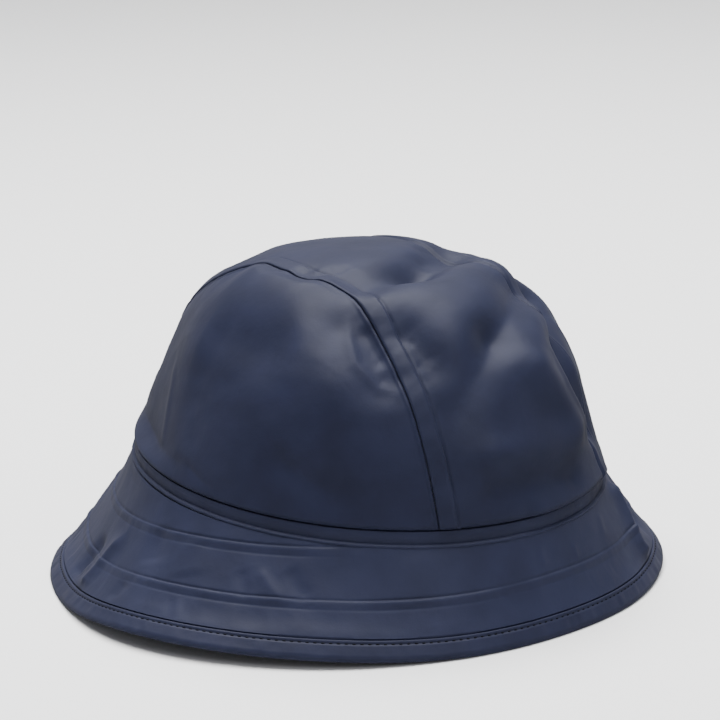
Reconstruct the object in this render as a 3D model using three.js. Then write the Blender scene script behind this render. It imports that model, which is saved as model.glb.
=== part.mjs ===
// A soft rain hat with a three-panel crown, a low band and a sloping brim that is
// short over the face and long over the neck. Lengths are in millimetres, angles in
// degrees and +Z is up. The hat faces -Y, the wearer's right hand is toward -X, and
// the hat stands on its brim's edge at Z = 0.
import * as THREE from 'three';

// Head opening, measured over the band's lower edge.
const HEAD_LENGTH = 194.6;
const HEAD_WIDTH = 181.6;
const BASE_HEIGHT = 45.5;     // band's lower edge above the floor, half way front to back
const BASE_TILT = 5.4;        // the band is lower at the front by this angle

// Band between crown and brim, with a thin ridge round its foot.
const BAND_HEIGHT = 6.5;
const BAND_WALL = 1.6;
const BAND_LEAN = 0.7;        // the band's top lies this far inside its foot
const BAND_RIDGE_HEIGHT = 1.5;
const BAND_RIDGE_DEPTH = 0.8;

// Crown: two side panels and a strip from front to back.
const CROWN_HEIGHT = 79.5;     // from the crown's foot to its top
const CROWN_INSET = 1.9;      // the crown's inner face lies this far inside the band's foot
const CROWN_WALL = 1.2;
const STRIP_TOP_WIDTH = 72;
const SEAM_ANGLE_RIGHT = 28;  // azimuth of the strip's edge at the front, wearer's right
const SEAM_ANGLE_LEFT = 36;   // the same on the wearer's left, where the crown is pushed round
const SEAM_CURVE = 1.5;       // how late the strip widens toward its foot
const SEAM_GAP = 0.4;
const SEAM_DITCH = 0.5;       // how deep the panels' edges dip at a seam
const SEAM_SHOULDER = 1.3;    // how wide that dip is
const WELT_WIDTH = 8;         // turned-in cloth that lifts the strip beside its seams
const WELT_HEIGHT = 0.8;
const WELT_SLOPE = 0.9;

// Brim, two ribs on it and the tape folded over its edge.
const BRIM_REACH = 42;        // widest overhang, at the back
const BRIM_WALL = 1.4;
const BRIM_EDGE_WALL = 1.0;   // thinner where the tape holds it
const BRIM_TAPER = 3;         // length over which it thins beside the tape
const CROWDING = 0.9;         // least distance between ribs' edges where the slope is short
const BRIM_LIFT = 5.5;        // how far the edge rises off the floor at the right side
const BRIM_SAG = 4;           // how far the middle of the slope hangs in, where it flares most
const RIB_WIDTH = 3.6;
const RIB_HEIGHT = 0.8;
const LOWER_RIB_AT = 20;      // up the slope from the edge of the brim
const UPPER_RIB_AT = 40.5;
const TAPE_WIDTH = 8.3;
const TAPE_WALL = 0.9;
const TAPE_FLAT = 1.6;        // width of the flat that the hat stands on
const TAPE_ROUND = 2;         // length of the rounding beside that flat
const TAPE_INSERT = 5.5;      // how far the brim's edge goes into the folded tape
const CLEARANCE = 0.3;        // gap between neighbouring pieces

// Folds in the crown.
const FOLD_WIDTH = 10;
const FOLD_DEPTH = 5;
const FOLD_FREE = 0.06;       // share of the crown's slope over which folds die out at its foot

// Fineness of the mesh.
const RING_STEPS = 84;
const PANEL_ROWS = 35;
const STRIP_COLUMNS = 7;
const SIDE_COLUMNS = 12;

const RAD = Math.PI / 180;
const TILT_SLOPE = Math.tan(BASE_TILT * RAD);

// Crown profile from the top down: rise is a share of CROWN_HEIGHT, radius a share of
// the foot's radius.
const PROFILE = [
  { rise: 1.000, radius: 0.000 },
  { rise: 0.993, radius: 0.170 },
  { rise: 0.972, radius: 0.335 },
  { rise: 0.935, radius: 0.470 },
  { rise: 0.880, radius: 0.590 },
  { rise: 0.810, radius: 0.690 },
  { rise: 0.720, radius: 0.775 },
  { rise: 0.620, radius: 0.838 },
  { rise: 0.500, radius: 0.888 },
  { rise: 0.380, radius: 0.925 },
  { rise: 0.250, radius: 0.958 },
  { rise: 0.120, radius: 0.985 },
  { rise: 0.000, radius: 1.000 },
];

// Brim by azimuth from the front, counted toward the wearer's left: reach is a share of
// BRIM_REACH beyond the band's foot, lift a share of BRIM_LIFT above the floor, sag a
// share of BRIM_SAG.
const BRIM = [
  { azimuth: 0, reach: 0.36, lift: 0, sag: 0.2 },
  { azimuth: 30, reach: 0.45, lift: 0.06, sag: 0.1 },
  { azimuth: 60, reach: 0.63, lift: 0.4, sag: 0.1 },
  { azimuth: 90, reach: 0.71, lift: 0.1, sag: 0.2 },
  { azimuth: 120, reach: 0.84, lift: 0, sag: 0.5 },
  { azimuth: 150, reach: 0.95, lift: 0, sag: 0.6 },
  { azimuth: 180, reach: 1.00, lift: 0, sag: 0.5 },
  { azimuth: 210, reach: 0.91, lift: 0, sag: 0.8 },
  { azimuth: 240, reach: 0.82, lift: 0, sag: 1.0 },
  { azimuth: 270, reach: 0.86, lift: 1.0, sag: 0.5 },
  { azimuth: 300, reach: 0.69, lift: 0.75, sag: 0.2 },
  { azimuth: 330, reach: 0.48, lift: 0.12, sag: 0.2 },
];

// Folds of the crown. Each runs between two points given by azimuth and by at, the share
// of the slope from the crown's top (0) to its foot (1). Width is a share of FOLD_WIDTH,
// depth a share of FOLD_DEPTH, less than nothing for a hollow and more for a ridge.
const FOLDS = [
  { name: 'top valley, right half', az0: -44, at0: 0.29, az1: 0, at1: 0.21, width: 1.0, depth: -0.9 },
  { name: 'top valley, left half', az0: 0, at0: 0.21, az1: 58, at1: 0.26, width: 1.0, depth: -1.1 },
  { name: 'bowl beside the right seam', az0: -51, at0: 0.41, az1: -42, at1: 0.59, width: 1.1, depth: -0.9 },
  { name: 'hollow on the strip', az0: -31, at0: 0.40, az1: -27, at1: 0.52, width: 1.1, depth: -0.8 },
  { name: 'long valley, upper half', az0: 40, at0: 0.465, az1: 1, at1: 0.545, width: 0.95, depth: -0.7 },
  { name: 'long valley, lower half', az0: 1, at0: 0.545, az1: -19, at1: 0.71, width: 0.95, depth: -0.6 },
  { name: 'ridge beside the left seam', az0: 40, at0: 0.52, az1: 18, at1: 0.62, width: 0.7, depth: 0.3 },
  { name: 'left seam pinch, upper', az0: 56, at0: 0.52, az1: 35, at1: 0.645, width: 0.8, depth: -1.2 },
  { name: 'left seam pinch, lower', az0: 35, at0: 0.645, az1: 35, at1: 0.87, width: 0.7, depth: -0.9 },
  { name: 'bulge beside the left seam', az0: 12, at0: 0.66, az1: 20, at1: 0.82, width: 0.8, depth: 0.6 },
  { name: 'low bulge at the front', az0: -11, at0: 0.83, az1: 16, at1: 0.85, width: 0.8, depth: 0.5 },
  { name: 'low hollow at the front', az0: -12, at0: 0.92, az1: 14, at1: 0.94, width: 0.6, depth: -0.4 },
  { name: 'right panel hollow', az0: -96, at0: 0.74, az1: -84, at1: 0.58, width: 2.4, depth: -0.6 },
  { name: 'right panel ridge', az0: -54, at0: 0.66, az1: -61, at1: 0.82, width: 1.0, depth: 0.4 },
  { name: 'right panel low crease', az0: -66, at0: 0.85, az1: -51, at1: 0.93, width: 0.7, depth: -0.4 },
  { name: 'left shoulder bulge', az0: 66, at0: 0.34, az1: 46, at1: 0.41, width: 0.9, depth: 0.5 },
  { name: 'slack at the right rear', az0: -128, at0: 0.68, az1: -122, at1: 0.94, width: 2.9, depth: -1.2 },
  { name: 'slack at the left front', az0: 52, at0: 0.5, az1: 54, at1: 0.84, width: 2.4, depth: -0.4 },
  { name: 'rear hollow', az0: 152, at0: 0.50, az1: 174, at1: 0.74, width: 1.5, depth: -0.8 },
  { name: 'rear crease', az0: -162, at0: 0.44, az1: -148, at1: 0.78, width: 1.0, depth: -0.7 },
  { name: 'left panel hollow', az0: 82, at0: 0.45, az1: 100, at1: 0.74, width: 1.9, depth: -0.9 },
  { name: 'left panel ridge', az0: 62, at0: 0.52, az1: 70, at1: 0.84, width: 1.2, depth: 0.5 },
  { name: 'left panel low crease', az0: 98, at0: 0.88, az1: 130, at1: 0.84, width: 0.8, depth: -0.5 },
];

const smooth = (x) => {
  const u = Math.min(Math.max(x, 0), 1);
  return u * u * (3 - 2 * u);
};
const mix = (a, b, t) => a + (b - a) * t;

// Height of the band's lower edge at a distance y behind the middle.
const baseAt = (y) => BASE_HEIGHT + TILT_SLOPE * y;

// The crown's slope measured along its profile, so that equal steps are equal lengths.
const FOOT_LENGTH = HEAD_LENGTH / 2 - CROWN_INSET;
const FOOT_WIDTH = HEAD_WIDTH / 2 - CROWN_INSET;
const FOOT_MEAN = (FOOT_LENGTH + FOOT_WIDTH) / 2;
const ARC = [0];
for (let i = 1; i < PROFILE.length; i += 1) {
  const across = (PROFILE[i].radius - PROFILE[i - 1].radius) * FOOT_MEAN;
  const down = (PROFILE[i].rise - PROFILE[i - 1].rise) * CROWN_HEIGHT;
  ARC.push(ARC[i - 1] + Math.hypot(across, down));
}
const SLOPE_LENGTH = ARC[ARC.length - 1];
const AT = ARC.map((length) => length / SLOPE_LENGTH);

// Rise and radius at a share of the way from the top to the foot, by a smooth curve
// through the profile's rows.
function profileAt(share) {
  const at = Math.min(Math.max(share, 0), 1);
  let i = 0;
  while (i < AT.length - 2 && AT[i + 1] <= at) i += 1;
  const span = AT[i + 1] - AT[i];
  const u = (at - AT[i]) / span;
  const slope = (j, key) => {
    const before = Math.max(j - 1, 0);
    const after = Math.min(j + 1, AT.length - 1);
    if (j === 0 && key === 'rise') return 0;
    return (PROFILE[after][key] - PROFILE[before][key]) / (AT[after] - AT[before]);
  };
  const value = (key) => {
    const a = PROFILE[i][key];
    const b = PROFILE[i + 1][key];
    return (2 * u ** 3 - 3 * u ** 2 + 1) * a + (u ** 3 - 2 * u ** 2 + u) * span * slope(i, key)
      + (-2 * u ** 3 + 3 * u ** 2) * b + (u ** 3 - u ** 2) * span * slope(i + 1, key);
  };
  return { rise: value('rise'), radius: value('radius') };
}

// A point of the crown is named on a flat disc: its middle is the crown's top, its edge
// the foot, -Y on the disc is the front. This gives the smooth crown without folds.
function smoothCrown(qx, qy) {
  const at = Math.hypot(qx, qy);
  const { rise, radius } = profileAt(at);
  const scale = at > 1e-9 ? radius / at : 0;
  const x = FOOT_WIDTH * qx * scale;
  const y = FOOT_LENGTH * qy * scale;
  const foot = BASE_HEIGHT + BAND_HEIGHT + CLEARANCE;
  return new THREE.Vector3(x, y, foot + TILT_SLOPE * y * (1 - rise) + CROWN_HEIGHT * rise);
}

function crownNormal(qx, qy) {
  const step = 0.004;
  const inside = Math.max(Math.hypot(qx, qy) / (1 - step), 1);
  const cx = qx / inside;
  const cy = qy / inside;
  const alongX = smoothCrown(cx + step, cy).sub(smoothCrown(cx - step, cy));
  const alongY = smoothCrown(cx, cy + step).sub(smoothCrown(cx, cy - step));
  return alongX.cross(alongY).normalize();
}

const onDisc = (azimuth, at) => [at * Math.sin(azimuth * RAD), -at * Math.cos(azimuth * RAD)];
const FOLD_LINES = FOLDS.map((fold) => ({
  width: fold.width * FOLD_WIDTH,
  depth: fold.depth * FOLD_DEPTH,
  line: new THREE.Line3(
    smoothCrown(...onDisc(fold.az0, fold.at0)),
    smoothCrown(...onDisc(fold.az1, fold.at1)),
  ),
}));

// How far the folds push a point of the crown outward.
function foldPush(point, at) {
  const nearest = new THREE.Vector3();
  let push = 0;
  for (const fold of FOLD_LINES) {
    fold.line.closestPointToPoint(point, true, nearest);
    push += fold.depth * Math.exp(-((nearest.distanceTo(point) / fold.width) ** 2));
  }
  return push * smooth((1 - at) / FOLD_FREE);
}

function crownPoint(qx, qy, lift) {
  const point = smoothCrown(qx, qy);
  const push = foldPush(point, Math.hypot(qx, qy));
  return point.addScaledVector(crownNormal(qx, qy), push + lift);
}

// The two seams on the disc. t runs from -1 at the front foot to 1 at the rear foot.
const STRIP_TOP_SHARE = STRIP_TOP_WIDTH / 2 / SLOPE_LENGTH;
function seam(side, t) {
  const azimuth = side < 0 ? SEAM_ANGLE_RIGHT : SEAM_ANGLE_LEFT;
  const wide = mix(STRIP_TOP_SHARE, Math.sin(azimuth * RAD), Math.abs(t) ** SEAM_CURVE);
  return [side * wide, t * Math.cos(azimuth * RAD)];
}

// Length on the cloth of one unit across the disc, at a point of the disc.
function clothPerUnit(qx, qy) {
  const step = 0.004;
  return smoothCrown(qx + step, qy).distanceTo(smoothCrown(qx - step, qy)) / (2 * step);
}

// A closed body from a list of points and the triangles over them, seen from outside.
function solid(name, points, triangles, color, roughness) {
  const geometry = new THREE.BufferGeometry();
  const positions = new Float32Array(points.flatMap((p) => [p.x, p.y, p.z]));
  geometry.setAttribute('position', new THREE.BufferAttribute(positions, 3));
  geometry.setIndex(triangles.flat());
  geometry.computeVertexNormals();
  const material = new THREE.MeshStandardMaterial({ color, roughness, metalness: 0 });
  const mesh = new THREE.Mesh(geometry, material);
  mesh.name = name;
  return mesh;
}

// Cloth with a thickness: spots on the disc, triangles over them and the outer face's
// height at each spot. The edge between the faces is closed all round.
function cloth(name, spots, triangles, color) {
  const count = spots.length;
  const outer = spots.map((s) => crownPoint(s.q[0], s.q[1], s.lift));
  const inner = spots.map((s) => crownPoint(s.q[0], s.q[1], 0));
  const faces = triangles.map((t) => t);
  for (const [a, b, c] of triangles) faces.push([a + count, c + count, b + count]);
  const used = new Map();
  for (const t of triangles) {
    for (let k = 0; k < 3; k += 1) used.set(`${t[k]}_${t[(k + 1) % 3]}`, [t[k], t[(k + 1) % 3]]);
  }
  for (const [a, b] of used.values()) {
    if (used.has(`${b}_${a}`)) continue;
    faces.push([a, b + count, b]);
    faces.push([a, a + count, b + count]);
  }
  return solid(name, [...outer, ...inner], faces, color, 0.45);
}

// Distances from a seam at which the strip and the side panels get a row of points, with
// the outer face's height there.
const STRIP_EDGE = [
  { from: SEAM_GAP / 2, lift: CROWN_WALL + WELT_HEIGHT - SEAM_DITCH },
  { from: SEAM_GAP / 2 + SEAM_SHOULDER, lift: CROWN_WALL + WELT_HEIGHT },
  { from: SEAM_GAP / 2 + WELT_WIDTH - WELT_SLOPE, lift: CROWN_WALL + WELT_HEIGHT },
  { from: SEAM_GAP / 2 + WELT_WIDTH, lift: CROWN_WALL },
];
const SIDE_EDGE = [
  { from: SEAM_GAP / 2, lift: CROWN_WALL - SEAM_DITCH },
  { from: SEAM_GAP / 2 + SEAM_SHOULDER, lift: CROWN_WALL },
];

function stripPanel() {
  const spots = [];
  const rowLength = 2 * STRIP_EDGE.length + STRIP_COLUMNS;
  for (let j = 0; j <= PANEL_ROWS; j += 1) {
    const t = mix(-1, 1, j / PANEL_ROWS);
    const right = seam(-1, t);
    const left = seam(1, t);
    const width = left[0] - right[0];
    const shares = [];
    for (const edge of STRIP_EDGE) {
      shares.push({ s: edge.from / clothPerUnit(...right) / width, lift: edge.lift });
    }
    const first = shares[shares.length - 1].s;
    const far = STRIP_EDGE.map((edge) => ({
      s: 1 - edge.from / clothPerUnit(...left) / width,
      lift: edge.lift,
    })).reverse();
    for (let i = 1; i <= STRIP_COLUMNS; i += 1) {
      shares.push({ s: mix(first, far[0].s, i / (STRIP_COLUMNS + 1)), lift: CROWN_WALL });
    }
    shares.push(...far);
    for (const { s, lift } of shares) {
      const end = Math.sign(t);
      const footX = mix(seam(-1, end)[0], seam(1, end)[0], s);
      const footY = mix(seam(-1, end)[1], seam(1, end)[1], s);
      const bulge = end * Math.sqrt(1 - footX ** 2) - footY;
      const qy = mix(right[1], left[1], s) + Math.abs(t) ** 3 * bulge;
      spots.push({ q: [mix(right[0], left[0], s), qy], lift });
    }
  }
  const triangles = [];
  for (let j = 0; j < PANEL_ROWS; j += 1) {
    for (let i = 0; i < rowLength - 1; i += 1) {
      const a = j * rowLength + i;
      const b = a + rowLength;
      triangles.push([a, a + 1, b + 1], [a, b + 1, b]);
    }
  }
  return cloth('crown_centre_strip', spots, triangles, 0x343a50);
}

function sidePanel(name, side) {
  const spots = [];
  const azimuth = side < 0 ? SEAM_ANGLE_RIGHT : SEAM_ANGLE_LEFT;
  const footGap = (SEAM_GAP / 2 / FOOT_MEAN) / RAD;
  const rowLength = SIDE_EDGE.length + SIDE_COLUMNS;
  const corner = (end) => {
    const angle = side * (azimuth + footGap) * RAD;
    return [Math.sin(angle), end * Math.cos(angle)];
  };
  spots.push({ q: corner(-1), lift: CROWN_WALL - SEAM_DITCH });
  for (let j = 1; j < PANEL_ROWS; j += 1) {
    const t = mix(-1, 1, j / PANEL_ROWS);
    const edge = seam(side, t);
    const turn = mix(azimuth + footGap, 180 - azimuth - footGap, j / PANEL_ROWS);
    const foot = onDisc(side * turn, 1);
    const across = Math.hypot(foot[0] - edge[0], foot[1] - edge[1]);
    const unit = clothPerUnit(...edge);
    const shares = SIDE_EDGE.map((e) => ({ s: e.from / unit / across, lift: e.lift }));
    const start = shares[shares.length - 1].s;
    for (let i = 1; i <= SIDE_COLUMNS; i += 1) {
      shares.push({ s: mix(start, 1, i / SIDE_COLUMNS), lift: CROWN_WALL });
    }
    for (const { s, lift } of shares) {
      spots.push({ q: [mix(edge[0], foot[0], s), mix(edge[1], foot[1], s)], lift });
    }
  }
  spots.push({ q: corner(1), lift: CROWN_WALL - SEAM_DITCH });
  const last = spots.length - 1;
  const triangles = [];
  for (let i = 0; i < rowLength - 1; i += 1) {
    triangles.push([0, 1 + i, 2 + i]);
    const end = 1 + (PANEL_ROWS - 2) * rowLength + i;
    triangles.push([end, last, end + 1]);
  }
  for (let j = 0; j < PANEL_ROWS - 2; j += 1) {
    for (let i = 0; i < rowLength - 1; i += 1) {
      const a = 1 + j * rowLength + i;
      const b = a + rowLength;
      triangles.push([a, b, b + 1], [a, b + 1, a + 1]);
    }
  }
  const turned = side < 0 ? triangles : triangles.map(([a, b, c]) => [a, c, b]);
  return cloth(name, spots, turned, 0x2f354b);
}

// Smooth curve through the brim's rows, closed round the head.
function brimAt(azimuth, key) {
  const place = (((azimuth % 360) + 360) % 360) / 360 * BRIM.length;
  const i = Math.floor(place);
  const u = place - i;
  const value = (k) => BRIM[(i + k + BRIM.length) % BRIM.length][key];
  const [a, b, c, d] = [value(-1), value(0), value(1), value(2)];
  return 0.5 * (2 * b + (c - a) * u + (2 * a - 5 * b + 4 * c - d) * u ** 2
    + (3 * b - a - 3 * c + d) * u ** 3);
}

// Where the brim springs from the head, which way is outward there and how it slopes.
function slopeAt(azimuth) {
  const sin = Math.sin(azimuth * RAD);
  const cos = Math.cos(azimuth * RAD);
  const x = HEAD_WIDTH / 2 * sin;
  const y = -HEAD_LENGTH / 2 * cos;
  const out = new THREE.Vector3(sin / HEAD_WIDTH, -cos / HEAD_LENGTH, 0).normalize();
  const reach = BRIM_REACH * brimAt(azimuth, 'reach');
  const lift = Math.max(BRIM_LIFT * brimAt(azimuth, 'lift'), 0);
  const top = new THREE.Vector3(x, y, baseAt(y));
  const drop = top.z - lift;
  const length = Math.hypot(reach, drop);
  const sag = BRIM_SAG * brimAt(azimuth, 'sag');
  return { top, out, length, lift, sag, along: reach / length, down: drop / length };
}

// A point of the brim: from is the distance up the slope from the edge, lift is square to it.
function brimPoint(slope, from, lift) {
  const run = slope.length - from;
  const height = lift - slope.sag * 4 * (run / slope.length) * (from / slope.length);
  const outward = run * slope.along + height * slope.down;
  const upward = -run * slope.down + height * slope.along;
  return slope.top.clone().addScaledVector(slope.out, outward).add(new THREE.Vector3(0, 0, upward));
}

// A closed ring: section gives the same number of points at each azimuth.
function ring(name, section, color, roughness) {
  const points = [];
  for (let j = 0; j < RING_STEPS; j += 1) points.push(...section(j * 360 / RING_STEPS));
  const size = points.length / RING_STEPS;
  const triangles = [];
  for (let j = 0; j < RING_STEPS; j += 1) {
    const next = (j + 1) % RING_STEPS;
    for (let i = 0; i < size; i += 1) {
      const k = (i + 1) % size;
      triangles.push([j * size + i, next * size + i, next * size + k]);
      triangles.push([j * size + i, next * size + k, j * size + k]);
    }
  }
  return solid(name, points, triangles, color, roughness);
}

// The band's section from its foot outside, over its top, to its foot inside.
function bandSection(azimuth) {
  const { top, out } = slopeAt(azimuth);
  const outline = [
    { out: BAND_RIDGE_DEPTH, up: 0 },
    { out: BAND_RIDGE_DEPTH, up: BAND_RIDGE_HEIGHT * 0.7 },
    { out: 0, up: BAND_RIDGE_HEIGHT },
    { out: -BAND_LEAN / 2, up: (BAND_RIDGE_HEIGHT + BAND_HEIGHT) / 2 },
    { out: -BAND_LEAN, up: BAND_HEIGHT },
    { out: -BAND_LEAN - BAND_WALL, up: BAND_HEIGHT },
    { out: -BAND_WALL, up: 0 },
  ];
  return outline.map((p) => {
    const spot = top.clone().addScaledVector(out, p.out);
    spot.z = baseAt(spot.y) + p.up;
    return spot;
  });
}

// Height of a rib at full size, dying out where it would run under the band.
function ribHeight(slope, at) {
  return RIB_HEIGHT * smooth((slope.length - at - RIB_WIDTH) / RIB_WIDTH);
}

function brimSection(azimuth) {
  const slope = slopeAt(azimuth);
  const half = BRIM_WALL / 2;
  const thin = BRIM_EDGE_WALL / 2;
  const rib = (at) => {
    const high = half + ribHeight(slope, at);
    return [
      { from: at, lift: half },
      { from: at + RIB_WIDTH * 0.25, lift: high },
      { from: at + RIB_WIDTH * 0.75, lift: high },
      { from: at + RIB_WIDTH, lift: half },
    ];
  };
  const middle = mix(LOWER_RIB_AT + RIB_WIDTH, UPPER_RIB_AT, 0.5);
  const start = TAPE_WIDTH - TAPE_INSERT;
  const rows = [...rib(LOWER_RIB_AT), { from: middle, lift: half }, ...rib(UPPER_RIB_AT)];
  const upper = [
    { from: start, lift: thin },
    { from: TAPE_WIDTH + CLEARANCE, lift: thin },
    { from: TAPE_WIDTH + BRIM_TAPER, lift: half },
    ...rows.map((p, i) => {
      const limit = slope.length - (rows.length - i) * CROWDING;
      return { from: Math.min(p.from, limit), lift: p.lift };
    }),
  ].map((p) => brimPoint(slope, p.from, p.lift));
  const lower = [
    { from: Math.min(middle, slope.length - rows.length * CROWDING / 2), lift: -half },
    { from: LOWER_RIB_AT, lift: -half },
    { from: TAPE_WIDTH + BRIM_TAPER, lift: -half },
    { from: start, lift: -thin },
  ].map((p) => brimPoint(slope, p.from, p.lift));
  const edge = (out) => {
    const spot = slope.top.clone().addScaledVector(slope.out, out);
    spot.z = baseAt(spot.y) - CLEARANCE;
    return spot;
  };
  return [...lower, ...upper, edge(half), edge(-BAND_WALL)];
}

// The folded tape: outside face, the flat it stands on, inside face, and the slot that
// holds the brim's edge.
function tapeSection(azimuth) {
  const slope = slopeAt(azimuth);
  const slot = BRIM_EDGE_WALL / 2 + CLEARANCE;
  const face = slot + TAPE_WALL;
  const bottom = TAPE_WIDTH - TAPE_INSERT - CLEARANCE;
  const tip = (out) => {
    const spot = brimPoint(slope, 0, 0).addScaledVector(slope.out, out);
    spot.z = slope.lift;
    return spot;
  };
  const at = (from, lift) => brimPoint(slope, from, lift);
  return [
    at(TAPE_WIDTH, face),
    at(TAPE_WIDTH / 2, face),
    at(TAPE_ROUND, face),
    tip(TAPE_FLAT / 2),
    tip(-TAPE_FLAT / 2),
    at(TAPE_ROUND * 1.2, -face),
    at(TAPE_WIDTH, -face),
    at(TAPE_WIDTH, -slot),
    at(bottom, -slot),
    at(bottom, slot),
    at(TAPE_WIDTH, slot),
  ].reverse();
}

const hat = new THREE.Group();
hat.add(
  sidePanel('crown_right_panel', -1),
  stripPanel(),
  sidePanel('crown_left_panel', 1),
  ring('crown_band', bandSection, 0x2a3044, 0.5),
  ring('brim', brimSection, 0x39405a, 0.42),
  ring('brim_binding', tapeSection, 0x333a52, 0.45),
);

// The origin is under the middle of the hat, on the floor.
const box = new THREE.Box3().setFromObject(hat, true);
hat.position.set(-(box.min.x + box.max.x) / 2, -(box.min.y + box.max.y) / 2, -box.min.z);

export default hat;
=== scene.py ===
import math

import bpy
import numpy as np
from bpy.props import FloatProperty, FloatVectorProperty, PointerProperty
from mathutils import Matrix, Vector


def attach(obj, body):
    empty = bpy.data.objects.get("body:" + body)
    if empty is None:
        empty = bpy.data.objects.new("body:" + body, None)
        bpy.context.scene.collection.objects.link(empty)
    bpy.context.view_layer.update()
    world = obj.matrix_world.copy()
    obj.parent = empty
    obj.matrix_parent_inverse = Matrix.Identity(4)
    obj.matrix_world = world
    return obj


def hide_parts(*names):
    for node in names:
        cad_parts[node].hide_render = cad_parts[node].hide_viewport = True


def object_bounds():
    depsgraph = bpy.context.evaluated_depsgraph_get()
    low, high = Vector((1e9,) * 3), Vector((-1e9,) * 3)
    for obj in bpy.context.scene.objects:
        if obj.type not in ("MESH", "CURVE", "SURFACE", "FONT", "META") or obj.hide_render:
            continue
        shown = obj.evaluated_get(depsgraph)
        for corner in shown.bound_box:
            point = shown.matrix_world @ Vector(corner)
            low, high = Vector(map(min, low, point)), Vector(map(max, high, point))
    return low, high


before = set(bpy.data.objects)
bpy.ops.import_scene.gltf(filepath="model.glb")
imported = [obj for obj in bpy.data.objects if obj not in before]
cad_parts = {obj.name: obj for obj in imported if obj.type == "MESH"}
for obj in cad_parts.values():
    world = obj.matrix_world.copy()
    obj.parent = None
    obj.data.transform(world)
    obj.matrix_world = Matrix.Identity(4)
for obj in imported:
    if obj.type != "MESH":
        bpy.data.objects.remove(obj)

bl_info = {
    "name": "Rain Hat",
    "version": (1, 0, 0),
    "blender": (4, 5, 0),
    "location": "View3D > Sidebar > Rain Hat",
    "description": "Builds a soft rain hat in coated cloth from sewn panels, a band and a ribbed brim",
    "category": "Object",
}

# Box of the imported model, before anything is added to it.
CAD_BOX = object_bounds()

MM = 0.001

# Grids of the pieces: rows along a seam and columns across, or steps round the hat.
PANEL_GRID = (236, 150)
STRIP_GRID = (330, 130)
BAND_STEPS = 720
BRIM_STEPS = 840
BRIM_COUNTS = [12, 18, 20, 18, 20, 16]
TAPE_STEPS = 900

SEAM_GAP = 0.26 * MM        # between two panels' cut edges
BAND_LEAN = 0.7 * MM        # how far the band's top stands inside its foot
FOOT_GAP = 0.3 * MM         # between a panel's foot and the band, and the band and the brim
TAPE_SLOT = 0.8 * MM        # half of the slot that the brim's edge lies in
STITCH_INSET = 1.5 * MM     # from the tape's upper edge down to the stitches
STITCH_HALF = 0.82 * MM     # half of a stitch's length
THREAD_RADIUS = 0.24 * MM
AIM_RIGHT = -4.4 * MM       # the camera looks at a point this far right of the hat's middle
AIM_UP = 84.5 * MM          # and this far up from the middle of its foot

# Crown profile from the top down: rise as a share of the crown's height, radius as a
# share of the foot's radius.
PROFILE = [
    (1.000, 0.000), (0.993, 0.170), (0.972, 0.335), (0.935, 0.470), (0.880, 0.590),
    (0.810, 0.690), (0.720, 0.775), (0.620, 0.838), (0.500, 0.888), (0.380, 0.925),
    (0.250, 0.958), (0.120, 0.985), (0.000, 1.000),
]

# Brim every 30 degrees from the front toward the wearer's left: shares of the brim's
# reach, of its lift off the floor and of its sag.
BRIM = [
    (0.36, 0.00, 0.2), (0.45, 0.06, 0.1), (0.63, 0.40, 0.1), (0.71, 0.10, 0.2),
    (0.84, 0.00, 0.5), (0.95, 0.00, 0.6), (1.00, 0.00, 0.5), (0.91, 0.00, 0.8),
    (0.82, 0.00, 1.0), (0.86, 1.00, 0.5), (0.69, 0.75, 0.2), (0.48, 0.12, 0.2),
]

# Large folds of the crown: start and end, each as azimuth in degrees and share of the
# slope from the top (0) to the foot (1), then width and depth in millimetres.
FOLDS = [
    ("top valley, right half", (-44, 0.29), (0, 0.21), 10, -4.5),
    ("top valley, left half", (0, 0.21), (58, 0.26), 10, -5.5),
    ("bowl beside the right seam", (-49, 0.47), (-40, 0.62), 10.5, -4.6),
    ("hollow on the strip", (-30, 0.49), (-24, 0.59), 11, -4.6),
    ("long valley, upper half", (40, 0.465), (1, 0.545), 9, -3.5),
    ("long valley, lower half", (1, 0.545), (-19, 0.71), 9, -3.1),
    ("ridge beside the left seam", (40, 0.52), (18, 0.62), 7, 0.5),
    ("left seam pinch, upper", (56, 0.52), (31, 0.66), 8, -6),
    ("left seam pinch, lower", (31, 0.66), (34, 0.87), 7, -4.5),
    ("bulge beside the left seam", (12, 0.66), (20, 0.82), 8, 3),
    ("low bulge at the front", (-11, 0.83), (16, 0.85), 8, 2.5),
    ("low hollow at the front", (-12, 0.92), (14, 0.94), 6, -2),
    ("right panel hollow", (-96, 0.74), (-84, 0.58), 24, -3),
    ("right panel ridge", (-54, 0.66), (-61, 0.82), 10, 1.2),
    ("right panel low crease", (-66, 0.85), (-51, 0.93), 7, -0.9),
    ("left shoulder bulge", (66, 0.34), (46, 0.41), 9, 2.6),
    ("slack at the right rear", (-128, 0.68), (-122, 0.94), 29, -6),
    ("slack at the left front", (52, 0.5), (54, 0.84), 24, -2),
    ("rear hollow", (152, 0.50), (174, 0.74), 15, -4),
    ("rear crease", (-162, 0.44), (-148, 0.78), 10, -3.5),
    ("left panel hollow", (82, 0.45), (100, 0.74), 19, -4.5),
    ("left panel ridge", (62, 0.52), (70, 0.84), 12, 2.5),
    ("left panel low crease", (98, 0.88), (130, 0.84), 8, -2.5),
]

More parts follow.
